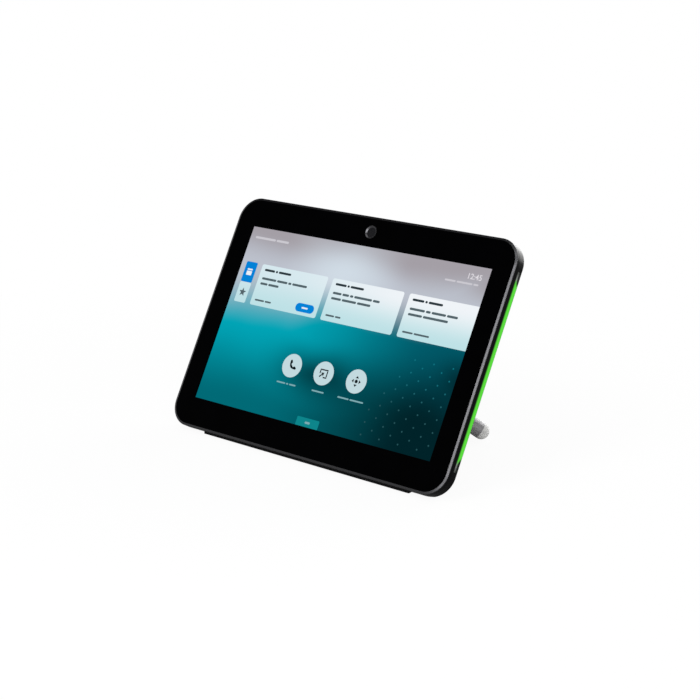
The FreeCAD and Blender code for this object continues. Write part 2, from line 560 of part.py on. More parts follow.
def leg_place(sign, distance):
    """Place on a leg's own line, at a distance from the leg's base, facing the foot."""
    turn = Rotation(Vector(0, 1, 0), 180 - sign * size("splay"))
    base = Vector(sign * size("leg_base"), 0, 0)
    return Placement(base + turn.multVec(Vector(0, 0, size(distance))), turn)


def leg_cylinder(sign, radius, start, length):
    item = doc.addObject("Part::Cylinder", "leg_cylinder")
    item.setExpression("Radius", bind(radius))
    item.setExpression("Height", bind(length))
    item.Placement = leg_place(sign, start)
    return item


# Hub in the stand frame, with x along the pin and -z towards the feet.
# It has two bearing cheeks, a bridge behind the lug and two leg sockets.
cheeks = []
clip_rooms = []
for sign in "+-":
    start, end = on_side(sign, CHEEK_IN, CHEEK_OUT)
    cheeks.append(hinge_round("cheek_radius", start, "cheek_length"))
    start, end = on_side(sign, CHEEK_OUT, CHEEK_OUT + " + leg_base")
    clip_rooms.append(hinge_round("clip_radius + clip_clear", start, "leg_base"))
bridge = box("-leg_base", "leg_base", "-bridge_half", "bridge_half",
             "-%s - bridge_length" % BRIDGE_NEAR, "-" + BRIDGE_NEAR)
socket_tubes = [leg_cylinder(sign, "leg_radius + socket_wall", "socket_start", "socket_end - socket_start")
                for sign in (1, -1)]
socket_bores = [leg_cylinder(sign, "leg_radius + leg_clear", "socket_floor", "socket_end")
                for sign in (1, -1)]
lug_room = hinge_round("lug_radius + lug_clear", "-" + CHEEK_IN, "2*" + CHEEK_IN)
pin_bore = hinge_round("pin_radius + pin_clear", "-2*" + CHEEK_OUT, "4*" + CHEEK_OUT)
hub_body = fuse(*cheeks, bridge, *socket_tubes)
name_part("stand_hub", cut(hub_body, lug_room, pin_bore, *clip_rooms, *socket_bores), stand)

# Legs: tubes in the sockets, with round tips plugged into their ends.
TUBE_END = "(%s - tip_collar)" % LEG_LENGTH
TUBE_BORE = "leg_radius - leg_wall"
for sign, side in ((-1, "left"), (1, "right")):
    tube_outer = leg_cylinder(sign, "leg_radius", "socket_floor", TUBE_END + " - socket_floor")
    tube_inner = leg_cylinder(sign, TUBE_BORE, "socket_floor - beyond", TUBE_END)
    name_part("stand_leg_" + side, cut(tube_outer, tube_inner), stand)
    collar = leg_cylinder(sign, "leg_radius", TUBE_END, "tip_collar")
    plug = leg_cylinder(sign, TUBE_BORE, TUBE_END + " - tip_plug", "tip_plug")
    dome = doc.addObject("Part::Sphere", "dome")
    dome.setExpression("Radius", bind("leg_radius"))
    dome.Placement = leg_place(sign, LEG_LENGTH)
    dome_front = leg_cylinder(sign, "2*leg_radius", LEG_LENGTH, "2*leg_radius")
    name_part("leg_tip_" + side, fuse(collar, plug, common(dome, dome_front)), stand)

# Rubber strip under the land: it lies flat on the desk.
strip = box("-strip_half", "strip_half", "-strip_width/2", "strip_width/2", "0", "strip_thick")
rounded_strip = fillet(strip, "strip_round", upright)
name_part("foot_strip", group(rounded_strip), Placement())

# Check every object, then write one file for each sub-part.
doc.recompute()
for item in doc.Objects:
    if "Invalid" in item.State or "Error" in item.State:
        raise RuntimeError("not built: %s %s" % (item.Label, item.State))
for item in parts:
    if item.Shape.isNull() or not item.Shape.isValid():
        raise RuntimeError("bad shape: " + item.Label)
os.makedirs("parts", exist_ok=True)
for item in parts:
    item.Shape.exportStep("parts/%s.step" % item.Label)
    bounds = item.Shape.BoundBox
    print("%-18s solids %d volume %9.1f  x %7.2f %7.2f y %7.2f %7.2f z %7.2f %7.2f" % (
        item.Label, len(item.Shape.Solids), item.Shape.Volume,
        bounds.XMin, bounds.XMax, bounds.YMin, bounds.YMax, bounds.ZMin, bounds.ZMax))
print("leg length %.2f, pivot above desk %.2f" % (size(LEG_LENGTH), size(PIVOT_HEIGHT)))
print("cover depth %.2f, panel origin y %.4f z %.4f" % (size(COVER_DEPTH), size(PANEL_Y), size(PANEL_Z)))
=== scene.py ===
# %% [markdown]
# # A desk touch panel, dressed for its photograph
# The real object is a thin tilted screen on a folding two-legged stand, with a green light bar
# in each side. Its solids come ready made from CAD, so this lesson never models the body again:
# it gives every solid a finish, lights the screen and sets up a small studio. Each step first
# says what the piece is, how else it could be made, and why it is made this way.

# %% Load the frame
import json
import math
import bpy
from mathutils import Matrix, Vector

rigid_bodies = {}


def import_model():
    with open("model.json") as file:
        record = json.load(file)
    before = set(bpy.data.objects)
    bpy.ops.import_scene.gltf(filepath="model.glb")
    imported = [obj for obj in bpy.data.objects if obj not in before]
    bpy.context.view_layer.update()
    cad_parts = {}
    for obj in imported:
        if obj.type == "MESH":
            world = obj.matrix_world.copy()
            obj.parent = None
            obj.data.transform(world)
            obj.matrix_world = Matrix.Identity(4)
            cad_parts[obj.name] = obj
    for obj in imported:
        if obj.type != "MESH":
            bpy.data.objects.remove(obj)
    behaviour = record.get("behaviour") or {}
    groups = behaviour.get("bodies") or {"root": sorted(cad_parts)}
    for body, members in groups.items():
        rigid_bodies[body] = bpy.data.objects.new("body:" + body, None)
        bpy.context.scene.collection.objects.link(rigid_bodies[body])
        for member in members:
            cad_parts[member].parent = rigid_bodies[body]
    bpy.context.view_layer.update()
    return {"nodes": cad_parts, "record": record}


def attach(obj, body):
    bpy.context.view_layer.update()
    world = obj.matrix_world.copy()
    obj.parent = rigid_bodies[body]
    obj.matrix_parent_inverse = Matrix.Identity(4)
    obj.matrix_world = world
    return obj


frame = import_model()
nodes = frame["nodes"]
print("CAD nodes:", len(nodes))

# %% [markdown]
# ## A frame to measure in
# The panel leans back, so heights and depths on it are awkward in room axes. One could turn the
# whole model upright, but a CAD part must stay where it is. Instead we find the panel's own axes:
# the wall mount on the back gives the direction out of the glass, and the glass gives the middle.

# %% Panel axes and origin
MM = 0.001
wall_mount = next(mount for mount in frame["record"]["mounts"] if mount["name"] == "wall_mount")
ACROSS = Vector((1, 0, 0))
OUT = -Vector(wall_mount["axis"]).normalized()
ALONG = OUT.cross(ACROSS)
glass_points = [vertex.co for vertex in nodes["cover_glass"].data.vertices]
glass_heights = [point.dot(ALONG) for point in glass_points]
MIDDLE = (min(glass_heights) + max(glass_heights)) / 2
FRONT = max(point.dot(OUT) for point in glass_points)
ORIGIN = ALONG * MIDDLE + OUT * FRONT
PANEL = Matrix((ACROSS, ALONG, OUT)).transposed().to_4x4()
PANEL.translation = ORIGIN


def on_panel(x, y, z=0.0):
    """Point in the room for a place on the panel, in millimetres."""
    return PANEL @ Vector((x * MM, y * MM, z * MM))


print("lean from upright: %.2f degrees" % math.degrees(math.asin(OUT.z)))

# %% [markdown]
# ## The camera
# The photograph was taken from the right and a little above. One could move the camera by eye
# until the outlines agree. A fit is surer: the four corners of the screen have known places on
# the panel, and only one camera sees them where the photograph does. Its place is kept in panel
# millimetres, with the point that it looks at, a very small roll and the focal length.

# %% Camera
CAMERA_PLACE = (706.733, -145.313, 885.519)
CAMERA_TARGET = (15.937, -7.470, 0.0)
CAMERA_ROLL = math.radians(-0.2398)
FOCAL_LENGTH = 83.405
SENSOR_WIDTH = 36.0

camera_data = bpy.data.cameras.new("photo_camera")
camera_data.lens = FOCAL_LENGTH
camera_data.sensor_width = SENSOR_WIDTH
camera = bpy.data.objects.new("photo_camera", camera_data)
bpy.context.scene.collection.objects.link(camera)
eye = on_panel(*CAMERA_PLACE)
look = on_panel(*CAMERA_TARGET) - eye
facing = look.to_track_quat("-Z", "Y").to_matrix().to_4x4()
camera.matrix_world = Matrix.Translation(eye) @ facing @ Matrix.Rotation(CAMERA_ROLL, 4, "Z")
bpy.context.scene.camera = camera
print("camera distance: %.0f mm" % (look.length / MM))

# %% [markdown]
# ## Colours as they look
# Shaders work in linear light, while a given colour is a screen value from 0 to 255.
# Typing linear numbers by hand is guesswork, so this helper turns one into the other.

# %% Colour helper


def linear(red, green, blue):
    """Linear colour for a screen colour from 0 to 255."""
    def one(value):
        value = value / 255
        return value / 12.92 if value <= 0.04045 else ((value + 0.055) / 1.055) ** 2.4
    return (one(red), one(green), one(blue), 1.0)


def shade(colour, share):
    """The same colour with more or less light in it."""
    return tuple(value * share for value in colour[:3]) + (1.0,)


BLACK = linear(0, 0, 0)
print("middle grey in linear light: %.3f" % linear(128, 128, 128)[0])

# %% [markdown]
# ## Short names for shader nodes
# A finish is a small network of nodes. Built call by call it takes many lines, so one class keeps
# the network and offers the few steps used here: sums, soft ramps, colour mixes, a noise, and the
# place of the shaded point on the panel. The place comes from object coordinates, which are room
# coordinates for a CAD solid, so a print or a glow stays put when the camera moves.

# %% Node helper


class Tree:
    """Node network of one material or world."""

    def __init__(self, owner, shader_name="Principled BSDF"):
        owner.use_nodes = True
        self.owner = owner
        self.nodes = owner.node_tree.nodes
        self.links = owner.node_tree.links
        self.shader = self.nodes[shader_name]

    def add(self, kind, **settings):
        node = self.nodes.new(kind)
        for key, value in settings.items():
            setattr(node, key, value)
        return node

    def feed(self, socket, value):
        if isinstance(value, bpy.types.NodeSocket):
            self.links.new(value, socket)
        else:
            socket.default_value = value

    def math(self, operation, first, second=0.0):
        node = self.add("ShaderNodeMath", operation=operation)
        self.feed(node.inputs[0], first)
        self.feed(node.inputs[1], second)
        return node.outputs[0]

    def ramp(self, value, low, high, to_low=0.0, to_high=1.0):
        node = self.add("ShaderNodeMapRange", interpolation_type="SMOOTHSTEP")
        for socket, item in zip(node.inputs, (value, low, high, to_low, to_high)):
            self.feed(socket, item)
        return node.outputs[0]

    def mix(self, factor, first, second):
        node = self.add("ShaderNodeMix", data_type="RGBA")
        self.feed(node.inputs[0], factor)
        self.feed(node.inputs[6], first)
        self.feed(node.inputs[7], second)
        return node.outputs[2]

    def point(self):
        return self.add("ShaderNodeTexCoord").outputs["Object"]

    def place(self):
        """Across, along and out of the panel at the shaded point, in millimetres."""
        point = self.point()
        sockets = []
        for axis, start in ((ACROSS, 0.0), (ALONG, MIDDLE), (OUT, FRONT)):
            node = self.add("ShaderNodeVectorMath", operation="DOT_PRODUCT")
            self.feed(node.inputs[0], point)
            node.inputs[1].default_value = axis
            sockets.append(self.math("DIVIDE", self.math("SUBTRACT", node.outputs["Value"], start), MM))
        return sockets

    def noise(self, scale, detail=3.0):
        node = self.add("ShaderNodeTexNoise")
        self.feed(node.inputs["Vector"], self.point())
        node.inputs["Scale"].default_value = scale
        node.inputs["Detail"].default_value = detail
        return node.outputs[0]


def material_tree(name):
    return Tree(bpy.data.materials.new(name))


print("node helper ready")

# %% [markdown]
# ## A finish with grain
# Nothing real has one flat colour: moulded plastic has a spark texture, anodised metal a fine
# mottle, rubber a bloom. A picture of such a texture would need mapping, so a noise of the right
# scale drives all three signs of it at once: colour, gloss and height.

# %% Grain finish
GRAIN_HEIGHT = 0.05 * MM
GLOSS_SPREAD = 0.04
NOISE_RANGE = (0.3, 0.7)


def finish(name, colour, rough, metal=0.0, grain=900.0, spread=0.12, bump=0.0, ior=1.45):
    """Opaque finish with a fine grain in colour, roughness and height."""
    tree = material_tree(name)
    noise = tree.noise(grain)
    mottle = tree.mix(noise, shade(colour, 1 - spread), shade(colour, 1 + spread))
    tree.feed(tree.shader.inputs["Base Color"], mottle)
    gloss = tree.ramp(noise, *NOISE_RANGE, rough - GLOSS_SPREAD, rough + GLOSS_SPREAD)
    tree.feed(tree.shader.inputs["Roughness"], gloss)
    tree.shader.inputs["Metallic"].default_value = metal
    tree.shader.inputs["IOR"].default_value = ior
    if bump:
        height = tree.add("ShaderNodeBump")
        height.inputs["Strength"].default_value = bump
        height.inputs["Distance"].default_value = GRAIN_HEIGHT
        tree.feed(height.inputs["Height"], noise)
        tree.feed(tree.shader.inputs["Normal"], height.outputs["Normal"])
    return tree.owner


def dress(material, *names):
    """Give CAD solids one material in place of what they had."""
    for name in names:
        nodes[name].data.materials.clear()
        nodes[name].data.materials.append(material)


print("grain finish ready")

# %% [markdown]
# ## The moulded body
# Front frame, rear housing and electronics cover are black moulded plastic. A low refractive index
# stands for the dull top coat of their sides: seen square on they stay nearly black, and only at a
# glancing angle do they pick up the pale room. Two finishes change with depth. The slope of the rim
# is cut bright on the real frame, and the back of the housing is sparked, so it is paler and matt.
# Both could be pieces of their own, but each is one moulding, so a ramp in depth joins the two
# looks in one finish.

# %% Body finishes
RIM_DEPTH = 0.8
BACK_EDGE = 0.3
EDGE_BEHIND = 0.2
EDGE_AHEAD = 0.1
SPARK_GRAIN = 1500.0
HOUSING_BACK = min(vertex.co.dot(OUT) - FRONT for vertex in nodes["rear_housing"].data.vertices) / MM


def moulding(name, edge, colours, rough, ior):
    """Black moulding whose colour and gloss change at a depth, from the rear look to the front one."""
    tree = material_tree(name)
    out = tree.place()[2]
    front = tree.ramp(out, edge - EDGE_BEHIND, edge + EDGE_AHEAD)
    grain = tree.noise(SPARK_GRAIN)
    mottle = tree.ramp(grain, *NOISE_RANGE, -GLOSS_SPREAD / 2, GLOSS_SPREAD / 2)
    gloss = tree.math("ADD", tree.ramp(front, 0.0, 1.0, *rough), mottle)
    tree.feed(tree.shader.inputs["Base Color"], tree.mix(front, *colours))
    tree.feed(tree.shader.inputs["Roughness"], gloss)
    tree.shader.inputs["IOR"].default_value = ior
    return tree, front


RIM_COLOURS = (linear(8, 8, 9), linear(66, 66, 68))
BACK_COLOURS = (linear(26, 26, 28), linear(9, 9, 10))
frame_black, rim = moulding("frame_black", -RIM_DEPTH, RIM_COLOURS, (0.25, 0.24), 1.11)
frame_black.feed(frame_black.shader.inputs["Metallic"], rim)
dress(frame_black.owner, "front_frame")
housing = moulding("housing_black", HOUSING_BACK + BACK_EDGE, BACK_COLOURS, (0.5, 0.26), 1.14)[0]
dress(housing.owner, "rear_housing")
dress(finish("cover_black", linear(19, 19, 21), 0.46, grain=2000, bump=0.3, ior=1.3), "rear_cover")
dress(finish("foot_rubber", linear(18, 18, 19), 0.8, grain=1400, bump=0.3, ior=1.2), "foot_strip")
dress(finish("tape_black", linear(16, 16, 16), 0.8, ior=1.2), "glass_tape")
print("back of the housing: %.1f mm behind the glass" % -HOUSING_BACK)

# %% [markdown]
# ## The stand
# The legs are grey anodised tubes with paler soft tips, and they turn on a coated steel hub. Bare
# metal alone would look like a mirror, so the tubes are only partly metallic and quite rough,
# which gives the broad highlight along their upper side and the dark underside.

# %% Stand finishes
TUBE_GREY = finish("tube_grey", linear(138, 137, 139), 0.42, metal=0.3, grain=3000, spread=0.05)
TIP_GREY = finish("tip_grey", linear(208, 208, 206), 0.6, grain=1200, spread=0.05, bump=0.04)
HUB_COAT = finish("hub_coat", linear(52, 52, 54), 0.5, metal=0.3, grain=1600, bump=0.3)
SCREW_BLACK = finish("screw_black", linear(38, 38, 40), 0.4, metal=0.8)
dress(TUBE_GREY, "stand_leg_left", "stand_leg_right")
dress(TIP_GREY, "leg_tip_left", "leg_tip_right")
dress(HUB_COAT, "stand_hub", "stand_bracket")
dress(SCREW_BLACK, "housing_screws", "cover_screws", "bracket_screws")
dress(finish("pin_steel", linear(160, 160, 162), 0.3, metal=1.0), "hinge_pin", "pin_clips")
dress(finish("washer_white", linear(206, 204, 196), 0.5), "hinge_washers")
print("materials with the stand:", len(bpy.data.materials))

# %% [markdown]
# ## The inner pieces
# Boards, cans and trays are hidden in the closed body and show only through the vents and ports.
# They could be left grey, but the parts are also used one by one, so each gets its own finish.

# %% Inner finishes
dress(finish("screw_steel", linear(150, 150, 152), 0.35, metal=1.0), "chassis_screws", "board_screws")
dress(finish("insert_brass", linear(190, 155, 90), 0.35, metal=1.0), "wall_inserts", "board_spacers")
TRAY_METAL = finish("tray_metal", linear(190, 192, 195), 0.4, metal=1.0, grain=400)
dress(TRAY_METAL, "backlight_tray", "chassis_plate")
dress(finish("spreader_metal", linear(178, 180, 182), 0.45, metal=1.0, grain=500), "heat_spreader")
dress(finish("can_metal", linear(200, 200, 202), 0.3, metal=1.0), "processor_shield", "usb_jack")
BOARD_GREEN = finish("board_green", linear(20, 80, 45), 0.45)
dress(BOARD_GREEN, "main_board", "camera_board", "led_strip_left", "led_strip_right")
dress(finish("jack_black", linear(34, 34, 36), 0.4), "network_jack", "reset_switch", "camera_barrel")
dress(finish("coil_dark", linear(44, 42, 46), 0.55), "power_transformer")
dress(finish("ribbon_cream", linear(206, 198, 172), 0.5), "display_cable")
dress(finish("button_grey", linear(84, 84, 88), 0.5), "reset_button")
dress(finish("lcd_dark", linear(14, 16, 18), 0.3), "lcd_panel")
print("materials so far:", len(bpy.data.materials))

# %% [markdown]
# ## The cover glass
# One sheet of glass covers the whole front. Its back is printed black outside the lit area. Real
# glass could be a clear solid over a black print, but then the print would be one more piece, and
# a coated screen hardly mirrors anything. So the print is part of the finish: opaque and glossy
# outside a rectangle of the screen's size, and clear inside it.

# %% Cover glass
SCREEN_WIDTH = 216.96
SCREEN_HEIGHT = 135.60
GLASS_IOR = 1.045
GLASS_GLOSS = (0.05, 0.09)
SMEAR_SCALE = 60.0
glass = material_tree("cover_glass")
across, along = glass.place()[:2]
inside_x = glass.math("LESS_THAN", glass.math("ABSOLUTE", across), SCREEN_WIDTH / 2)
inside_y = glass.math("LESS_THAN", glass.math("ABSOLUTE", along), SCREEN_HEIGHT / 2)
window = glass.math("MULTIPLY", inside_x, inside_y)
smear = glass.noise(SMEAR_SCALE)
glass.shader.inputs["IOR"].default_value = GLASS_IOR
glass.feed(glass.shader.inputs["Base Color"], glass.mix(smear, linear(1, 1, 1), linear(2, 2, 3)))
glass.feed(glass.shader.inputs["Roughness"], glass.ramp(smear, *NOISE_RANGE, *GLASS_GLOSS))
glass.feed(glass.shader.inputs["Alpha"], glass.math("SUBTRACT", 1.0, window))
dress(glass.owner, "cover_glass")
print("screen window: %.1f by %.1f mm" % (SCREEN_WIDTH, SCREEN_HEIGHT))

# %% [markdown]
# ## The camera in the glass
# A dished ring holds a sunk dark window. The dish is real geometry, so no highlight is painted.
# Its left half mirrors the pale room as a thin crescent, while its right half mirrors only the
# dark window, so a plain dull metal is enough.

# %% Camera finishes
dress(finish("ring_metal", linear(98, 98, 101), 0.25, metal=1.0, grain=1800), "camera_ring")
dress(finish("lens_dark", linear(24, 24, 26), 0.16, grain=300, ior=1.1), "camera_lens")
print("camera ring and window dressed")

# %% [markdown]
# ## Lit pieces of the picture
# A lit screen gives light instead of catching it, so its pieces are emission with a faint
# unevenness. A picture file could hold the whole screen, but flat shapes stay sharp at any size.
# Each piece is a thin closed plate between the display and the front of the glass, in levels a
# few hundredths of a millimetre apart so that no two faces lie in one plane.

# %% Thin plates on the display
LCD_LEVEL = -1.1
LEVEL_STEP = 0.06
PLATE_THICK = 0.03
GLOW_GRAIN = 220.0
GLOW_LEAST = 0.97


def light_up(tree, colour):
    """Make a finish give its own light in a colour, and mirror nothing."""
    tree.shader.inputs["Base Color"].default_value = BLACK
    tree.shader.inputs["Specular IOR Level"].default_value = 0.0
    tree.shader.inputs["Emission Strength"].default_value = 1.0
    tree.feed(tree.shader.inputs["Emission Color"], colour)
    return tree.owner


def glow(name, colour):
    """Finish of a lit piece in one colour, with a faint unevenness."""
    tree = material_tree(name)
    return light_up(tree, tree.mix(tree.noise(GLOW_GRAIN), shade(colour, GLOW_LEAST), colour))


def picture_piece(name, outlines, level, material):
    """One thin closed plate for each outline, joined in one piece of the picture."""
    top = LCD_LEVEL + LEVEL_STEP * level
    points = []
    faces = []
    for outline in outlines:
        count = len(outline)
        first = len(points)
        points += [on_panel(x, y, top) for x, y in outline]
        points += [on_panel(x, y, top - PLATE_THICK) for x, y in outline]
        faces.append([first + step for step in range(count)])
        faces.append([first + count + step for step in reversed(range(count))])
        for step in range(count):
            after = (step + 1) % count
            faces.append([first + step, first + count + step, first + count + after, first + after])
    mesh = bpy.data.meshes.new(name)
    mesh.from_pydata(points, [], faces)
    mesh.materials.append(material)
    piece = bpy.data.objects.new(name, mesh)
    bpy.context.scene.collection.objects.link(piece)
    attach(piece, "panel")


print("levels between display and glass front:", int(-LCD_LEVEL / LEVEL_STEP))

# %% [markdown]
# ## Outlines
# All the shapes on the screen come from a rectangle, a rounded rectangle, a disc and a few small
# polygons that are turned into place. Each is written in panel millimetres, anticlockwise, so that
# the plates face the viewer.

# %% Outline helpers
CORNER_STEPS = 8


def rectangle(x0, x1, y0, y1):
    return [(x0, y0), (x1, y0), (x1, y1), (x0, y1)]


def rounded(x0, x1, y0, y1, radius, square_right=False):
    """Rounded rectangle, with square corners on the right if it runs off the screen there."""
    centres = ((x1 - radius, y1 - radius, 0), (x0 + radius, y1 - radius, 90),
               (x0 + radius, y0 + radius, 180), (x1 - radius, y0 + radius, 270))
    outline = []
    for cx, cy, start in centres:
        if square_right and cx > (x0 + x1) / 2:
            outline.append((x1, y1) if start == 0 else (x1, y0))
            continue
        for step in range(CORNER_STEPS + 1):
            angle = math.radians(start + 90 * step / CORNER_STEPS)
            outline.append((cx + radius * math.cos(angle), cy + radius * math.sin(angle)))
    return outline


def disc(x, y, radius, steps=48):
    turns = [2 * math.pi * step / steps for step in range(steps)]
    return [(x + radius * math.cos(turn), y + radius * math.sin(turn)) for turn in turns]


def turned(outline, x, y, degrees):
    """An outline turned about its own origin and moved to a place."""
    cosine = math.cos(math.radians(degrees))
    sine = math.sin(math.radians(degrees))
    return [(x + u * cosine - v * sine, y + u * sine + v * cosine) for u, v in outline]


print("outline helpers ready")

# %% [markdown]
# ## The background of the picture
# The screen shows a soft wash: mauve grey at the top, a pale cloud under it, teal on the left, a
# deep blue green on the right, and dark hollows behind the buttons and at the right edge. Wide ramps
# down and over the screen cross here, and a slow wave bends them so that no straight edge shows.

# %% Screen wash
TOP_GREY = linear(164, 159, 166)
PALE_BAND = linear(188, 193, 204)
PALE_CLOUD = linear(208, 219, 229)
TEAL_LEFT = linear(1, 166, 184)
TEAL_LOW = linear(1, 106, 118)
DEEP_RIGHT = linear(1, 88, 103)
DEEP_LOW = linear(1, 35, 41)
WAVE = 7.0
WAVE_SCALE = 14.0
WAVE_DETAIL = 1.0
WAVE_RANGE = (0.2, 0.8)
WAVE_ALONG = 0.6
HOLLOW = 0.8
# Hills: middle across and along, then reach across and along.
BUTTON_HOLLOW = (-4.0, -30.0, 70.0, 26.0)
EDGE_HOLLOW = (108.0, -14.0, 32.0, 24.0)
CLOUD = (-14.0, 44.0, 62.0, 40.0)
MAUVE_CORNER = (112.0, 56.0, 44.0, 20.0)
# Ramps: where each starts and ends.
LEFT_FADE = (0.0, -66.0)
RIGHT_FADE = (8.0, -46.0)
SIDE_FADE = (-60.0, 84.0)
MAUVE_FADE = (40.0, 64.0)
FOOT_FADE = (-55.0, -15.0)
FOOT_HEIGHTS = (-10.0, 4.0)
UPPER_START = 40.0

wash = material_tree("screen_wash")
across, along = wash.place()[:2]
wave = wash.ramp(wash.noise(WAVE_SCALE, WAVE_DETAIL), *WAVE_RANGE, -WAVE, WAVE)
across = wash.math("ADD", across, wave)
along = wash.math("ADD", along, wash.math("MULTIPLY", wave, WAVE_ALONG))


def hill(x, y, reach_x, reach_y):
    """Soft hill on the screen, 1 at its middle and 0 beyond its reach."""
    from_x = wash.math("ABSOLUTE", wash.math("SUBTRACT", across, x))
    from_y = wash.math("ABSOLUTE", wash.math("SUBTRACT", along, y))
    return wash.math("MULTIPLY", wash.ramp(from_x, reach_x, 0.0), wash.ramp(from_y, reach_y, 0.0))


left_side = wash.mix(wash.ramp(along, *LEFT_FADE), TEAL_LEFT, TEAL_LOW)
right_side = wash.mix(wash.ramp(along, *RIGHT_FADE), DEEP_RIGHT, DEEP_LOW)
teal = wash.mix(wash.ramp(across, *SIDE_FADE), left_side, right_side)
hollows = wash.math("MAXIMUM", hill(*BUTTON_HOLLOW), hill(*EDGE_HOLLOW))
teal = wash.mix(wash.math("MULTIPLY", hollows, HOLLOW), teal, DEEP_LOW)
mauve = wash.math("MAXIMUM", wash.ramp(along, *MAUVE_FADE), hill(*MAUVE_CORNER))
band = wash.mix(mauve, PALE_BAND, TOP_GREY)
upper = wash.mix(hill(*CLOUD), band, PALE_CLOUD)
upper_foot = wash.ramp(across, *FOOT_FADE, *FOOT_HEIGHTS)
light_up(wash, wash.mix(wash.ramp(along, upper_foot, UPPER_START), teal, upper))
half_width = SCREEN_WIDTH / 2
half_height = SCREEN_HEIGHT / 2
background = rectangle(-half_width, half_width, -half_height, half_height)
picture_piece("picture_wash", [background], 1, wash.owner)
print("wash: %.1f mm across" % (2 * half_width))

# %% [markdown]
# ## Cards
# Three pale cards lie in a row, and the last one runs off the right edge of the screen. On the
# real screen they are a little see-through. Clear plates over a lit wash would cost render time,
# so the cards carry the tint themselves: bluer and darker at the foot, nearly white at the top.

# %% Cards
CARD_TOP = 40.8
CARD_FOOT = 9.2
CARD_CORNER = 1.6
CARD_SIDE_FADE = (-70.0, 60.0)
CARD_FOOT_FADE = (10.0, 38.0)
CARD_SPANS = ((-87.8, -24.2), (-19.5, 44.8), (49.5, half_width))

card = material_tree("card_pale")
across, along = card.place()[:2]
card_top = card.mix(card.ramp(across, *CARD_SIDE_FADE), linear(214, 232, 238), linear(240, 244, 248))
card_tint = card.mix(card.ramp(along, *CARD_FOOT_FADE), linear(190, 225, 230), card_top)
CARD_PALE = light_up(card, card_tint)
for index, (left, right) in enumerate(CARD_SPANS):
    outline = rounded(left, right, CARD_FOOT, CARD_TOP, CARD_CORNER, right == half_width)
    picture_piece("card_%d" % index, [outline], 2, CARD_PALE)
print("cards:", len(CARD_SPANS))

# %% [markdown]
# ## Words that say nothing
# A screen is full of words, but this part carries none. Bare cards would look unfinished, so each
# line of words becomes a row of short dashes with gaps, as in a layout sketch.

# %% Rows of dashes
WORD_GAP = 0.9
INK = glow("ink_dark", linear(44, 56, 62))
INK_SOFT = glow("ink_soft", linear(84, 100, 106))
PALE_INK = glow("ink_pale", linear(204, 202, 209))
LABEL_INK = glow("label_pale", linear(126, 172, 178))


def dashes(x, y, lengths, thick):
    """A row of dashes that starts at x and is centred on y."""
    row = []
    for length in lengths:
        row.append(rounded(x, x + length, y - thick / 2, y + thick / 2, thick / 2))
        x += length + WORD_GAP
    return row


CARD_INSET = 3.6
BOLD = 1.7
FINE = 1.3
HOURS_Y = 36.8
TITLE_Y = 30.2
SECOND_Y = 26.2
NAME_Y = 13.4
HEADER_PLACE = (-103.5, 60.0)
DATE_PLACE = (73.5, 55.0)
HOURS = (10, 2, 12)
TITLES = (((14, 10, 3, 14), (7, 10)), ((8, 6, 3, 16, 6), (9, 13, 12)), ((13, 4, 12, 9), (12, 21)))
NAMES = ((9, 6), (8, 5), (9, 13))
for index, (left, right) in enumerate(CARD_SPANS):
    x = left + CARD_INSET
    picture_piece("card_%d_hours" % index, dashes(x, HOURS_Y, HOURS, BOLD), 3, INK)
    first, second = TITLES[index]
    title = dashes(x, TITLE_Y, first, BOLD) + dashes(x, SECOND_Y, second, BOLD)
    picture_piece("card_%d_title" % index, title, 3, INK_SOFT)
    picture_piece("card_%d_name" % index, dashes(x, NAME_Y, NAMES[index], FINE), 3, INK_SOFT)
picture_piece("header_words", dashes(*HEADER_PLACE, (20, 12), BOLD), 2, PALE_INK)
picture_piece("header_date", dashes(*DATE_PLACE, (9, 13, 4), FINE), 2, PALE_INK)
print("rows of dashes:", 4 * len(CARD_SPANS) + 2)

# %% [markdown]
# ## Side tabs and the blue pill
# Two tabs stand left of the cards: the upper one is chosen, so it is blue and carries a white
# page, the lower one is pale with a star. A blue pill on the first card is its button.

# %% Tabs and pill
TAB_LEFT = -103.7
TAB_RIGHT = -92.8
TAB_MIDDLE = (TAB_LEFT + TAB_RIGHT) / 2
TAB_SPLIT = 25.0
PAGE_Y = 33.0
STAR_Y = 17.0
STAR_POINTS = 5
STAR_REACH = (3.5, 1.5)
TAB_CORNER = 1.2
TAB_GAP = 0.1
PAGE_HALF = 2.5
PAGE_CORNER = 0.4
PILL = (-44.8, -27.5, 11.6, 18.0, 3.1)
BLUE = glow("accent_blue", linear(4, 131, 216))
WHITE = glow("white_mark", linear(236, 241, 246))

picture_piece("tab_chosen", [rounded(TAB_LEFT, TAB_RIGHT, TAB_SPLIT, CARD_TOP, TAB_CORNER)], 2, BLUE)
other_tab = rounded(TAB_LEFT, TAB_RIGHT, CARD_FOOT, TAB_SPLIT - TAB_GAP, TAB_CORNER)
picture_piece("tab_other", [other_tab], 2, CARD_PALE)
page_span = (TAB_MIDDLE - PAGE_HALF, TAB_MIDDLE + PAGE_HALF)
page_head = rounded(*page_span, PAGE_Y + 1.3, PAGE_Y + 2.5, PAGE_CORNER)
page_body = rounded(*page_span, PAGE_Y - 2.6, PAGE_Y + 0.7, PAGE_CORNER)
picture_piece("tab_page", [page_head, page_body], 3, WHITE)
star = []
for step in range(2 * STAR_POINTS):
    reach = STAR_REACH[step % 2]
    turn = math.radians(90 + 180 * step / STAR_POINTS)
    star.append((TAB_MIDDLE + reach * math.cos(turn), STAR_Y + reach * math.sin(turn)))
picture_piece("tab_star", [star], 3, INK_SOFT)

picture_piece("card_pill", [rounded(*PILL)], 3, BLUE)
picture_piece("card_pill_words", dashes(-39.0, 14.8, (5.8,), 1.2), 4, WHITE)
print("tabs:", 2)

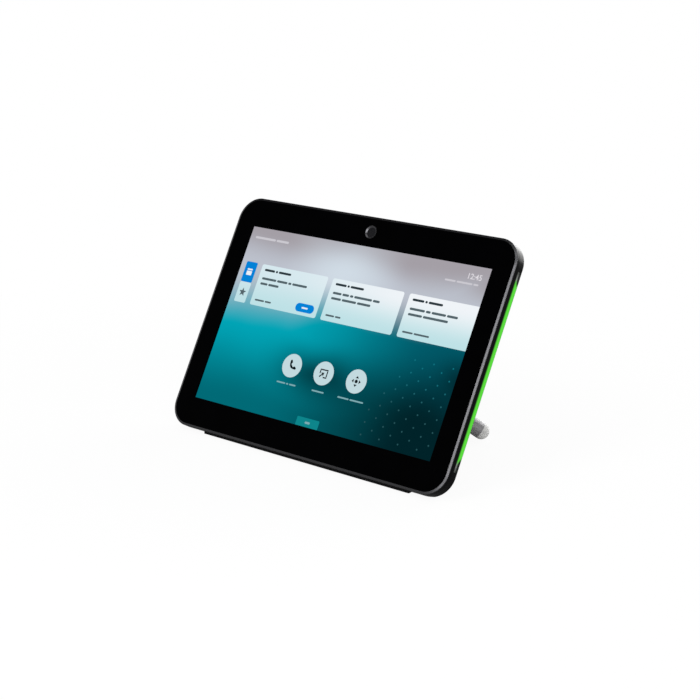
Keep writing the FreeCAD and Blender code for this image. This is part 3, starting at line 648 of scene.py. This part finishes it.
# %% [markdown]
# ## Round buttons
# Three pale discs sit in the middle of the screen, each over a short label. Their signs are the
# common ones for a call, for sharing a screen and for turning a camera. A font with signs could
# give them, but fonts differ between computers, so each sign is drawn from a few points.

# %% Round buttons and labels
BUTTON_Y = -27.8
BUTTON_RADIUS = 8.7
BUTTON_STEPS = 72
BUTTON_X = (-30.1, -0.5, 29.1)
LABEL_Y = -41.3
LABEL_THICK = 1.1
LABELS = ((8, 2, 6), (11,), (10, 12))
BUTTON_PALE = glow("button_pale", linear(196, 219, 224))
for index, x in enumerate(BUTTON_X):
    picture_piece("button_%d" % index, [disc(x, BUTTON_Y, BUTTON_RADIUS, BUTTON_STEPS)], 2, BUTTON_PALE)
    width = sum(LABELS[index]) + WORD_GAP * (len(LABELS[index]) - 1)
    label = dashes(x - width / 2, LABEL_Y, LABELS[index], LABEL_THICK)
    picture_piece("button_%d_label" % index, label, 2, LABEL_INK)
print("round buttons:", len(BUTTON_X))

# %% [markdown]
# ## Signs on the buttons
# The handset is one outline: a bowed back over two lobes. The screen is an open frame with an
# arrow into it. The camera sign is a dot between four arrow heads.

# %% Button signs
SIGN_INK = glow("sign_dark", linear(16, 26, 30))
HANDSET_HALF = 4.4
ARC_STEPS = 12

handset = []
for step in range(ARC_STEPS + 1):
    u = HANDSET_HALF - 2 * HANDSET_HALF * step / ARC_STEPS
    handset.append((u, -1.0 + 2.7 * math.cos(math.pi * u / (2 * HANDSET_HALF))))
right_lobe = [(1.4, -0.1), (1.9, -1.8), (HANDSET_HALF - 0.5, -2.2)]
handset += [(-u, v) for u, v in reversed(right_lobe)] + right_lobe
picture_piece("sign_handset", [turned(handset, BUTTON_X[0], BUTTON_Y, 135)], 3, SIGN_INK)

screen_x = BUTTON_X[1]
screen_bars = [rectangle(screen_x - 3.6, screen_x + 3.6, BUTTON_Y + 2.1, BUTTON_Y + 3.0),
               rectangle(screen_x + 2.7, screen_x + 3.6, BUTTON_Y - 2.4, BUTTON_Y + 2.0),
               rectangle(screen_x - 3.6, screen_x - 2.7, BUTTON_Y - 0.4, BUTTON_Y + 2.0),
               rectangle(screen_x + 0.4, screen_x + 3.6, BUTTON_Y - 3.4, BUTTON_Y - 2.5)]
arrow_head = [(0.0, 1.6), (-1.7, -0.6), (1.7, -0.6)]
arrow_shaft = rectangle(-0.5, 0.5, -3.4, -0.7)
arrow = [turned(outline, screen_x - 0.6, BUTTON_Y - 0.5, -45) for outline in (arrow_head, arrow_shaft)]
picture_piece("sign_screen", screen_bars + arrow, 3, SIGN_INK)

pointer = [(0.0, 4.0), (-1.4, 2.3), (1.4, 2.3)]
pointers = [turned(pointer, BUTTON_X[2], BUTTON_Y, quarter) for quarter in (0, 90, 180, 270)]
picture_piece("sign_camera", pointers + [disc(BUTTON_X[2], BUTTON_Y, 1.3, 24)], 3, SIGN_INK)
print("signs:", 3)

# %% [markdown]
# ## Lower tab, dots and clock
# A small teal tab rises from the lower edge, and a faint field of dots fades out of the right
# corner. The dots are one piece, laid out by a loop. The clock is the one thing on the screen
# that can be read: plain digits, set with Blender's own font and made a little bolder.

# %% Lower tab and dots
DOT_FADE = (-4.0, -46.0)
LOWER_TAB_SPAN = (-10.5, 9.8)
LOWER_TAB_TOP = -61.3
LOWER_TAB_CORNER = 0.8
TAB_TEAL = glow("lower_teal", linear(14, 134, 140))
dot = material_tree("dot_teal")
dot_fall = dot.ramp(dot.place()[1], *DOT_FADE)
DOT_TEAL = light_up(dot, dot.mix(dot_fall, linear(16, 112, 126), linear(38, 82, 88)))
lower_tab = rounded(*LOWER_TAB_SPAN, -half_height, LOWER_TAB_TOP, LOWER_TAB_CORNER)
picture_piece("lower_tab", [lower_tab], 2, TAB_TEAL)
picture_piece("lower_tab_mark", dashes(-2.6, -64.6, (4.6,), 1.6), 3, LABEL_INK)

DOT_PITCH = 16.0
DOT_ROW = 4.5
DOT_ROWS = 14
DOT_COLUMNS = 5
DOT_RADIUS = 0.65
DOT_STEPS = 12
DOT_RIGHT = 103.0
DOT_TOP = -4.0
FIELD_LEFT = 66.0
FIELD_SLANT = 2.2
dots = []
for row in range(DOT_ROWS):
    left_end = FIELD_LEFT - FIELD_SLANT * row
    for column in range(DOT_COLUMNS):
        x = DOT_RIGHT - DOT_PITCH * (column + 0.5 * (row % 2))
        if x > left_end:
            dots.append(disc(x, DOT_TOP - DOT_ROW * row, DOT_RADIUS, DOT_STEPS))
picture_piece("dot_field", dots, 2, DOT_TEAL)
print("dots:", len(dots))

# %% Clock
DIGIT_SIZE = 5.6
BOLDER = 0.06
CLOCK_X = 102.6
CLOCK_Y = 58.4
CLOCK_PALE = glow("clock_pale", linear(224, 220, 226))
clock = bpy.data.objects.new("clock", bpy.data.curves.new("clock", "FONT"))
clock.data.body = "12:45"
clock.data.size = DIGIT_SIZE * MM
clock.data.offset = BOLDER * MM
clock.data.extrude = PLATE_THICK / 2 * MM
clock.data.align_x = "RIGHT"
clock.data.materials.append(CLOCK_PALE)
bpy.context.scene.collection.objects.link(clock)
clock_place = Vector((CLOCK_X, CLOCK_Y, LCD_LEVEL + 2 * LEVEL_STEP)) * MM
clock.matrix_world = PANEL @ Matrix.Translation(clock_place)
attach(clock, "panel")
picture_count = sum(1 for item in bpy.data.objects if item.type == "MESH") - len(nodes) + 1
print("pieces of the picture:", picture_count)

# %% [markdown]
# ## The light bars
# A frosted bar in each side glows green over the length of the lamps behind it, and runs out at
# each end in a dim grey part with a thin paler line along it, which is a painted highlight of the
# slot's edge. A lamp could be put behind real frosted plastic, but that renders slowly and grainy.
# Here the bar itself gives the light: full in its middle, falling off towards its front edge, and
# cut slantwise at its ends, where the rear edge goes dark first.

# %% Light bars
LIT_HALF = 64.8
END_FADE = 3.0
END_SLANT = 3.0
LIT_DEPTH = 1.6
# The next three set the painted highlight line on the dim ends: its depth behind the bar front, its
# half width, and its share at the far ends.
HIGHLIGHT_LINE_DEPTH = 1.0
HIGHLIGHT_LINE_HALF = 1.3
HIGHLIGHT_LINE_END = 0.25
SLANT_DEPTH = 3.5
END_OVERRUN = 1.0
FRONT_SPILL = 0.2
FRONT_GLOW = 0.08
SPECK_SCALE = 500.0
SPECK_LEAST = 0.95
bar_points = [vertex.co for vertex in nodes["light_bar_right"].data.vertices]
BAR_FRONT = max(point.dot(OUT) - FRONT for point in bar_points) / MM
BAR_HALF = max(point.dot(ALONG) - MIDDLE for point in bar_points) / MM
bar = material_tree("light_bar")
along, out = bar.place()[1:]
from_middle = bar.math("ABSOLUTE", along)
slant = bar.ramp(out, BAR_FRONT - HIGHLIGHT_LINE_DEPTH, BAR_FRONT - SLANT_DEPTH, 0.0, END_SLANT)
slanted = bar.math("ADD", from_middle, slant)
lit_length = bar.ramp(slanted, LIT_HALF - END_FADE, LIT_HALF + END_OVERRUN, 1.0, 0.0)
lit_depth = bar.ramp(out, BAR_FRONT + FRONT_SPILL, BAR_FRONT - LIT_DEPTH, FRONT_GLOW, 1.0)
# Painted highlight: a thin pale line in the base colour of the dim ends, at a fixed depth behind the
# bar front, weaker towards the far ends.
from_highlight_line = bar.math("ABSOLUTE", bar.math("SUBTRACT", out, BAR_FRONT - HIGHLIGHT_LINE_DEPTH))
painted_highlight = bar.math("MULTIPLY", bar.ramp(from_highlight_line, HIGHLIGHT_LINE_HALF, 0.0),
                  bar.ramp(from_middle, BAR_HALF, LIT_HALF, HIGHLIGHT_LINE_END, 1.0))
speck = bar.ramp(bar.noise(SPECK_SCALE), *NOISE_RANGE, SPECK_LEAST, 1.0)
strength = bar.math("MULTIPLY", bar.math("MULTIPLY", lit_length, lit_depth), speck)
bar.shader.inputs["Roughness"].default_value = 0.5
bar.shader.inputs["IOR"].default_value = 1.15
bar.shader.inputs["Emission Color"].default_value = linear(88, 217, 56)
# The dim ends are grey, and the painted highlight line is the paler grey in them.
dim_end_with_highlight = bar.mix(painted_highlight, linear(34, 38, 34), linear(134, 138, 134))
bar.feed(bar.shader.inputs["Base Color"], bar.mix(lit_length, dim_end_with_highlight, linear(12, 34, 10)))
bar.feed(bar.shader.inputs["Emission Strength"], strength)
dress(bar.owner, "light_bar_left", "light_bar_right")
print("bar front %.1f mm behind the glass, lit for %.0f mm" % (-BAR_FRONT, 2 * LIT_HALF))

# %% [markdown]
# ## A white floor that keeps the shadow
# The photograph has a pure white ground. Lamps strong enough to whiten a floor would bleach the
# object, so the floor shines by itself for the rays that are seen: straight ones, and those that
# reach it by a mirror or through glass. A share of plain lit surface stays near the object and
# carries its shadow, and it fades out with distance so that no edge of the floor shows. In
# mirrors the near floor shows little of its own light and its colour is painted dark, a painted
# shade in the reflections of the floor, and only its far part is white.

# %% Floor
FLOOR_HALF = 4.0
SHADOW_SHARE = 0.07
MIRROR_SHARE = 0.85
SHADOW_FADE = (0.16, 0.55)
MIRROR_FADE = (0.5, 2.2)
PAPER_SCALE = 3.0
PAPER_SHADES = (0.78, 0.82)


def seen_rays(tree, camera_share, glossy_share):
    """How much of its own light a surface shows to each kind of ray that is seen."""
    path = tree.add("ShaderNodeLightPath")
    direct = tree.math("MAXIMUM", path.outputs["Is Camera Ray"], path.outputs["Is Transmission Ray"])
    direct = tree.math("MULTIPLY", direct, camera_share)
    mirrored = tree.math("MULTIPLY", path.outputs["Is Glossy Ray"], glossy_share)
    return tree.math("MAXIMUM", direct, mirrored)


floor_mesh = bpy.data.meshes.new("floor")
floor_corners = rectangle(-FLOOR_HALF, FLOOR_HALF, -FLOOR_HALF, FLOOR_HALF)
floor_mesh.from_pydata([(x, y, 0) for x, y in floor_corners], [], [(0, 1, 2, 3)])
floor = bpy.data.objects.new("floor", floor_mesh)
bpy.context.scene.collection.objects.link(floor)

ground = material_tree("floor_white")
away = ground.add("ShaderNodeVectorMath", operation="LENGTH")
ground.feed(away.inputs[0], ground.point())
distance = away.outputs["Value"]
camera_share = ground.ramp(distance, *SHADOW_FADE, 1 - SHADOW_SHARE, 1.0)
mirror_share = ground.ramp(distance, *MIRROR_FADE, 1 - MIRROR_SHARE, 1.0)
own_light = seen_rays(ground, camera_share, mirror_share)
shine = ground.add("ShaderNodeEmission")
shine.inputs["Strength"].default_value = 1.0
blend = ground.add("ShaderNodeMixShader")
white = linear(255, 255, 255)
paper = ground.mix(ground.noise(PAPER_SCALE), *(shade(white, share) for share in PAPER_SHADES))
# Painted shade: near the object the floor's colour turns much darker for mirror rays, so its
# reflections in the object are dark.
mirror_painted_shade = ground.math("SUBTRACT", seen_rays(ground, 0.0, 1.0), seen_rays(ground, 0.0, mirror_share))
ground.shader.inputs["Roughness"].default_value = 1.0
ground.feed(ground.shader.inputs["Base Color"], ground.mix(mirror_painted_shade, paper, BLACK))
ground.feed(blend.inputs[0], own_light)
ground.feed(blend.inputs[1], ground.shader.outputs[0])
ground.feed(blend.inputs[2], shine.outputs[0])
ground.feed(ground.nodes["Material Output"].inputs["Surface"], blend.outputs[0])
floor_mesh.materials.append(ground.owner)
print("floor: %.0f m wide" % (2 * FLOOR_HALF))

# %% [markdown]
# ## The surround
# The world is the white studio behind the floor. Straight rays find it fully white. In mirrors it
# is white at the horizon, darker above, and has one pale panel right overhead, which the leg and
# the camera ring pick up. For the light on the object it is dimmer, so that the lamps can shape
# the body.

# %% World
AMBIENT = 0.45
CEILING = 0.2
OVERHEAD = 0.9
WALL_FADE = (0.2, 0.6)
OVERHEAD_EDGE = (0.88, 0.96)
world = bpy.data.worlds.new("studio")
bpy.context.scene.world = world
sky = Tree(world, "Background")
sky.shader.inputs["Color"].default_value = linear(255, 255, 255)
way_up = sky.add("ShaderNodeSeparateXYZ")
sky.feed(way_up.inputs[0], sky.add("ShaderNodeTexCoord").outputs["Generated"])
height = way_up.outputs["Z"]
walls = sky.ramp(height, *WALL_FADE, 1.0, CEILING)
mirrored = sky.math("MAXIMUM", walls, sky.ramp(height, *OVERHEAD_EDGE, 0.0, OVERHEAD))
unseen = sky.math("SUBTRACT", 1.0, seen_rays(sky, 1.0, 1.0))
seen = seen_rays(sky, 1.0, mirrored)
sky.feed(sky.shader.inputs["Strength"], sky.math("ADD", seen, sky.math("MULTIPLY", unseen, AMBIENT)))
print("ambient light: %.2f, ceiling in mirrors: %.2f" % (AMBIENT, CEILING))

# %% [markdown]
# ## Six soft lamps
# A lamp in front and above gives the general light. Its place is chosen with a mirror in mind:
# the slope of the rim on the right, and on no other side, mirrors that spot towards the camera,
# so it draws the bright line down the right edge. Two weaker lamps over and under it carry the
# line round the two right corners. Another lamp stands to the right, where the dish of the camera
# ring mirrors it as a crescent. A weak lamp behind shows in the rounded upper corner, which
# mirrors the far side of the room. The last one stands behind and above the stand and draws
# a highlight along the upper side of the leg.

# %% Lamps


def soft_lamp(name, azimuth, elevation, distance, width, height, watts):
    """Flat lamp aimed at the middle of the panel. Azimuth 0 is in front, 90 to the right."""
    data = bpy.data.lights.new(name, "AREA")
    data.shape = "RECTANGLE"
    data.size = width
    data.size_y = height
    data.energy = watts
    lamp = bpy.data.objects.new(name, data)
    bpy.context.scene.collection.objects.link(lamp)
    turn = math.radians(azimuth)
    rise = math.radians(elevation)
    way = Vector((math.sin(turn) * math.cos(rise), -math.cos(turn) * math.cos(rise), math.sin(rise)))
    facing = way.to_track_quat("Z", "Y").to_matrix().to_4x4()
    lamp.matrix_world = Matrix.Translation(ORIGIN + way * distance) @ facing


# Azimuth and elevation in degrees, then distance, width and height in metres, and watts.
LAMPS = {
    "front_lamp": (-5, 37, 1.3, 0.5, 0.5, 7),
    "upper_corner_lamp": (-15, 58, 1.3, 0.5, 0.25, 1.6),
    "lower_corner_lamp": (-6, 17, 1.3, 0.5, 0.35, 2.2),
    "right_lamp": (48, 30, 1.4, 1.0, 1.0, 8),
    "back_lamp": (178, 6, 1.5, 1.4, 0.35, 7),
    "stand_lamp": (160, 29, 1.2, 1.1, 0.5, 6),
}
for lamp_name, setting in LAMPS.items():
    soft_lamp(lamp_name, *setting)
bpy.context.scene.view_settings.view_transform = "Standard"
print("lamps:", len(bpy.data.lights))
